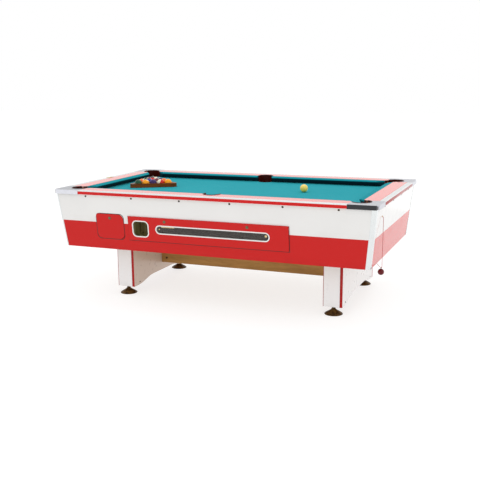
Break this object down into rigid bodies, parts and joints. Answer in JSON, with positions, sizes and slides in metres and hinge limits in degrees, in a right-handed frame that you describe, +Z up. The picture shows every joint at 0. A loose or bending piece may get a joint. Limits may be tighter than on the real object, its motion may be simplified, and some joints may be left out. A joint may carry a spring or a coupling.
{
  "type": "coin-operated pool table",
  "caption": "Six-pocket pool table with a coin door, a ball return behind a long window, panel legs, a triangle rack with balls, a cue ball and a chalk cord.",
  "frame": {"origin": "on the floor under the table's centre", "axes": "+X along the table to the right as seen from the front, +Y from the front (the side with the coin door) to the rear, +Z up"},
  "size_m": [2.36, 1.37, 0.8074],
  "materials": {
    "red_laminate": "red laminate on board, semi-gloss",
    "white_laminate": "white laminate on board, semi-gloss",
    "rail_laminate": "glossy red laminate on solid timber",
    "aluminium": "brushed and lightly worn",
    "cloth": "woven wool blend, teal",
    "liner_plastic": "dark maroon brown moulded plastic",
    "slate_stone": null,
    "raw_board": "unfinished board",
    "bronze_iron": "dark bronze paint",
    "steel": "zinc plated",
    "lock_brass": "worn greenish metal",
    "clear_plastic": "clear acrylic",
    "trough_plastic": "dark grey",
    "rack_wood": "dark varnish",
    "ball_resin": "polished ivory yellow resin",
    "racked_resin": "polished resin in solid and striped colours",
    "cord_cotton": "twisted cotton",
    "bob_wood": "dark red lacquer"
  },
  "bodies": {
    "table": {"apron_front": "red_laminate", "apron_right": "white_laminate", "apron_rear": "white_laminate", "apron_left": "white_laminate", "leg_left_side_panels": "white_laminate", "leg_left_front_board": "white_laminate", "leg_left_rear_board": "white_laminate", "leg_right_side_panels": "white_laminate", "leg_right_front_board": "white_laminate", "leg_right_rear_board": "white_laminate", "cabinet_floor": "raw_board", "stretcher_beam": "raw_board", "ball_deck": "raw_board", "ball_cup": "raw_board", "slate_bed": "slate_stone", "bed_cloth": "cloth", "cushion_front_left": "cloth", "cushion_front_right": "cloth", "cushion_rear_left": "cloth", "cushion_rear_right": "cloth", "cushion_left_end": "cloth", "cushion_right_end": "cloth", "rail_front": "rail_laminate", "rail_right": "rail_laminate", "rail_rear": "rail_laminate", "rail_left": "rail_laminate", "rail_trim_front": "aluminium", "rail_trim_right": "aluminium", "rail_trim_rear": "aluminium", "rail_trim_left": "aluminium", "corner_casting_front_left": "aluminium", "corner_casting_front_right": "aluminium", "corner_casting_rear_left": "aluminium", "corner_casting_rear_right": "aluminium", "pocket_liner_front_left": "liner_plastic", "pocket_liner_front_middle": "liner_plastic", "pocket_liner_front_right": "liner_plastic", "pocket_liner_rear_left": "liner_plastic", "pocket_liner_rear_middle": "liner_plastic", "pocket_liner_rear_right": "liner_plastic", "coin_mechanism": "steel", "cash_box": "steel", "ball_trough": "trough_plastic", "chalk_cord": "cord_cotton", "chalk_bob": "bob_wood"},
    "coin_door": {"coin_door": "red_laminate"},
    "coin_door_lock": {"coin_door_lock": "lock_brass"},
    "service_panel": {"service_panel": "red_laminate", "window_lens": "clear_plastic"},
    "service_lock_left": {"service_lock_left": "lock_brass"},
    "service_lock_right": {"service_lock_right": "lock_brass"},
    "ball_gate": {"ball_gate": "steel"},
    "release_rod": {"release_rod": "steel"},
    "cue_ball": {"cue_ball": "ball_resin"},
    "triangle_rack": {"triangle_rack": "rack_wood"},
    "racked_balls": {"racked_balls": "racked_resin"},
    "leveller_front_left": {"leveller_front_left": "bronze_iron"},
    "leveller_front_right": {"leveller_front_right": "bronze_iron"},
    "leveller_rear_left": {"leveller_rear_left": "bronze_iron"},
    "leveller_rear_right": {"leveller_rear_right": "bronze_iron"}
  },
  "joints": [
    {"name": "coin_door_hinge", "type": "hinge", "parent": "table", "child": "coin_door", "pos_m": [-0.7425, -0.63914, 0.45334], "axis": [1, 0, 0], "range_deg": [0, 95]},
    {"name": "coin_door_lock_turn", "type": "hinge", "parent": "coin_door", "child": "coin_door_lock", "pos_m": [-0.7425, -0.65477, 0.60384], "axis": [0, -0.9947, -0.1033], "range_deg": [0, 90]},
    {"name": "service_panel_hinge", "type": "hinge", "parent": "table", "child": "service_panel", "pos_m": [0, -0.63841, 0.45595], "axis": [1, 0, 0], "range_deg": [0, 80]},
    {"name": "service_lock_left_turn", "type": "hinge", "parent": "service_panel", "child": "service_lock_left", "pos_m": [-0.306, -0.65964, 0.60233], "axis": [0, -0.9947, -0.1033], "range_deg": [0, 90]},
    {"name": "service_lock_right_turn", "type": "hinge", "parent": "service_panel", "child": "service_lock_right", "pos_m": [0.306, -0.65964, 0.60233], "axis": [0, -0.9947, -0.1033], "range_deg": [0, 90]},
    {"name": "ball_gate_turn", "type": "hinge", "parent": "table", "child": "ball_gate", "pos_m": [-0.343, -0.545, 0.583], "axis": [0, 1, 0], "range_deg": [0, 40]},
    {"name": "release_rod_slide", "type": "slide", "parent": "table", "child": "release_rod", "axis": [-1, 0, 0], "range_m": [0, 0.028]},
    {"name": "leveller_front_left_turn", "type": "hinge", "parent": "table", "child": "leveller_front_left", "pos_m": [-0.743, -0.425, 0], "axis": [0, 0, 1], "continuous": true},
    {"name": "leveller_front_right_turn", "type": "hinge", "parent": "table", "child": "leveller_front_right", "pos_m": [0.84, -0.425, 0], "axis": [0, 0, 1], "continuous": true},
    {"name": "leveller_rear_left_turn", "type": "hinge", "parent": "table", "child": "leveller_rear_left", "pos_m": [-0.743, 0.425, 0], "axis": [0, 0, 1], "continuous": true},
    {"name": "leveller_rear_right_turn", "type": "hinge", "parent": "table", "child": "leveller_rear_right", "pos_m": [0.84, 0.425, 0], "axis": [0, 0, 1], "continuous": true},
    {"name": "cue_ball_lift", "type": "slide", "parent": "table", "child": "cue_ball", "axis": [0, 0, 1], "range_m": [0, 0.15]},
    {"name": "triangle_rack_lift", "type": "slide", "parent": "table", "child": "triangle_rack", "axis": [0, 0, 1], "range_m": [0, 0.15]},
    {"name": "racked_balls_lift", "type": "slide", "parent": "table", "child": "racked_balls", "axis": [0, 0, 1], "range_m": [0, 0.15]}
  ],
  "couplings": [
    {"joint": "release_rod_slide", "follows": "ball_gate_turn", "m_per_rad": 0.04}
  ]
}
